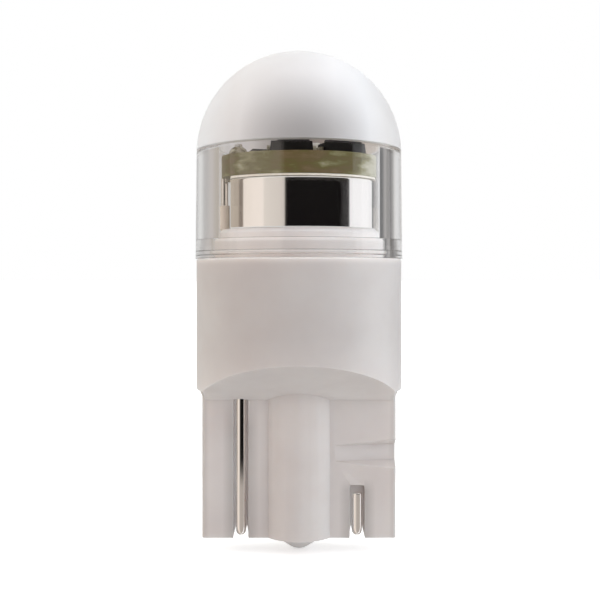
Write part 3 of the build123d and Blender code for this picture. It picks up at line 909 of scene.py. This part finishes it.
def flatted(profile):
    """Grid of a disc with two flats: r = min(profile radius, flat distance / |cos(t)| - inset).

    t is the angle from the left lead, and the inset is how far the profile lies inside its
    own widest radius, so that a rounded edge follows the flats too. The columns meet the
    flats' corners, where cos(t) is the flat distance over the radius.
    """
    corner = np.arccos(SINK_FLAT / SINK_RADIUS)
    stops = (-corner, corner, np.pi - corner, np.pi + corner, 2 * np.pi - corner)
    sides = zip(stops, stops[1:])
    t = np.concatenate([np.linspace(a, b, SIDE_COLUMNS, endpoint=False) for a, b in sides])
    inset = np.minimum(SINK_RADIUS - profile[:, :1], SINK_RADIUS - SINK_FLAT)
    flat = SINK_FLAT / np.maximum(np.abs(np.cos(t)), 1e-6)
    radius = np.minimum(profile[:, :1], flat - inset)
    turn = t + LEAD_TURN
    height = profile[:, 1:] + 0 * turn
    return np.stack([radius * np.cos(turn), radius * np.sin(turn), height], axis=-1)


def pad_finish():
    """Pale matt pad with fine specks."""
    material, tree, shader = finish("thermal_pad", colour(248, 240, 226), Roughness=0.6)
    stops = [(0.35, colour(244, 235, 218)), (0.65, colour(252, 246, 236))]
    vary(tree, shader, "Base Color", grain(tree, 8, 4.0), stops)
    return material


sink_profile = disc_profile(SINK_RADIUS, sink_low, sink_high, SINK_FOOT_ROUND, SINK_TOP_ROUND,
                            SOCKET_DEPTH)
grid_piece("slug", flatted(sink_profile), polished_metal(), "heat_sink",
           closed_rows=False, sharp=20)
pad_profile = disc_profile(SINK_RADIUS, sink_high, board_low, PAD_ROUND, PAD_ROUND)
grid_piece("pad", flatted(pad_profile), pad_finish(), "thermal_pad",
           closed_rows=False, sharp=20)

# %% [markdown]
# ## LED board
# The board's cut edge shows its glass cloth and resin: a mottled olive brown with lighter
# greenish streaks along the layers. Noise that is stretched flat makes the layers, and a
# second, rounder noise makes the mottle. A painted light makes the edge paler at the right.

# %% LED board
BOARD_LIT_SIDE = (2.0, 3.1)  # X at which the edge starts to turn paler, and at which it has
BOARD_PAINTED_LIGHT = 0.16


def board_laminate():
    """Mottled laminate: the mean of both noises, raised by a painted light towards the right."""
    material, tree, shader = finish("board_laminate", colour(112, 98, 64), Roughness=0.55)
    layers = grain(tree, 0.8, 4.0, 0.6, stretch=(1, 1, 4))
    mottle = grain(tree, 0.7, 4.0, 0.6)
    mixed = maths(tree, "MULTIPLY", maths(tree, "ADD", layers, mottle), 0.5)
    # Painted light: the edge turns paler towards the right
    aside = fade(tree, axes(tree, object_place(tree))[0], *BOARD_LIT_SIDE)
    paler = maths(tree, "MULTIPLY_ADD", aside, BOARD_PAINTED_LIGHT, mixed)
    vary(tree, shader, "Base Color", paler, [
        (0.38, colour(122, 102, 68)),
        (0.46, colour(108, 92, 52)),
        (0.53, colour(104, 96, 46)),
        (0.61, colour(136, 130, 88)),
        (0.72, colour(188, 184, 162)),
    ])
    bumped(tree, shader, mixed, 0.02, 0.5)
    return material


softened("led_board", 0.03, board_laminate())

# %% [markdown]
# ## Parts on the board
# Four rectifier diodes in black moulded epoxy stand at the board's edge on tin terminals,
# with the LED and two resistors between them. They are small and mostly seen from the side,
# so copies of the CAD solids with broken edges do, with a fine grit on the epoxy.

# %% Parts on the board
def black_epoxy():
    """Dull black epoxy with a fine grit."""
    sockets = {"Roughness": 0.7, "Specular IOR Level": 0.3}
    material, tree, shader = finish("black_epoxy", colour(18, 14, 12), **sockets)
    grit = grain(tree, 20, 4.0)
    stops = [(0.3, colour(13, 10, 8)), (0.7, colour(24, 19, 17))]
    vary(tree, shader, "Base Color", grit, stops)
    bumped(tree, shader, grit, 0.006, 0.6)
    return material


def solder_finish():
    """Rippled tin with a brownish film of flux in places."""
    sockets = {"Metallic": 1.0, "Roughness": 0.3}
    material, tree, shader = finish("solder", colour(176, 170, 146), **sockets)
    ripple = grain(tree, 3.0, 3.0)
    flux = [(0.42, colour(120, 112, 82)), (0.6, colour(206, 200, 180))]
    vary(tree, shader, "Base Color", ripple, flux)
    vary(tree, shader, "Roughness", ripple, [(0.35, grey(0.22)), (0.7, grey(0.42))])
    bumped(tree, shader, ripple, 0.02, 0.5)
    return material


epoxy = black_epoxy()
solder = solder_finish()
for place in ("front_left", "front_right", "back_left", "back_right"):
    softened(f"rectifier_diode_{place}", 0.03, epoxy)
softened("diode_terminals", 0.02, solder)
softened("resistor_end_caps", 0.02, solder)
for side in ("left", "right"):
    softened(f"current_resistor_{side}", 0.02, epoxy)
    softened(f"solder_joint_{side}", 0.01, solder, sharp=50)

# %% [markdown]
# ## LED
# A white ceramic package holds a yellow phosphor in a cone-shaped window. The phosphor is a
# clear gel full of fine powder, so it is glossy on top and speckled within.

# %% LED
def led_ceramic():
    """White ceramic with faint specks and a fine grain."""
    material, tree, shader = finish("led_ceramic", colour(232, 230, 222), Roughness=0.45)
    stops = [(0.3, colour(226, 223, 214)), (0.7, colour(238, 236, 230))]
    vary(tree, shader, "Base Color", grain(tree, 6, 4.0), stops)
    bumped(tree, shader, grain(tree, 15, 3.0), 0.004, 0.5)
    return material


def phosphor():
    """Yellow gel with powder in it."""
    sockets = {"Roughness": 0.15, "Subsurface Weight": 0.3, "Subsurface Scale": 0.2 * MM}
    material, tree, shader = finish("phosphor", colour(232, 196, 60), **sockets)
    stops = [(0.35, colour(224, 182, 44)), (0.65, colour(240, 210, 84))]
    vary(tree, shader, "Base Color", grain(tree, 25, 4.0), stops)
    return material


softened("led_package", 0.03, led_ceramic())
softened("led_phosphor", 0.01, phosphor())
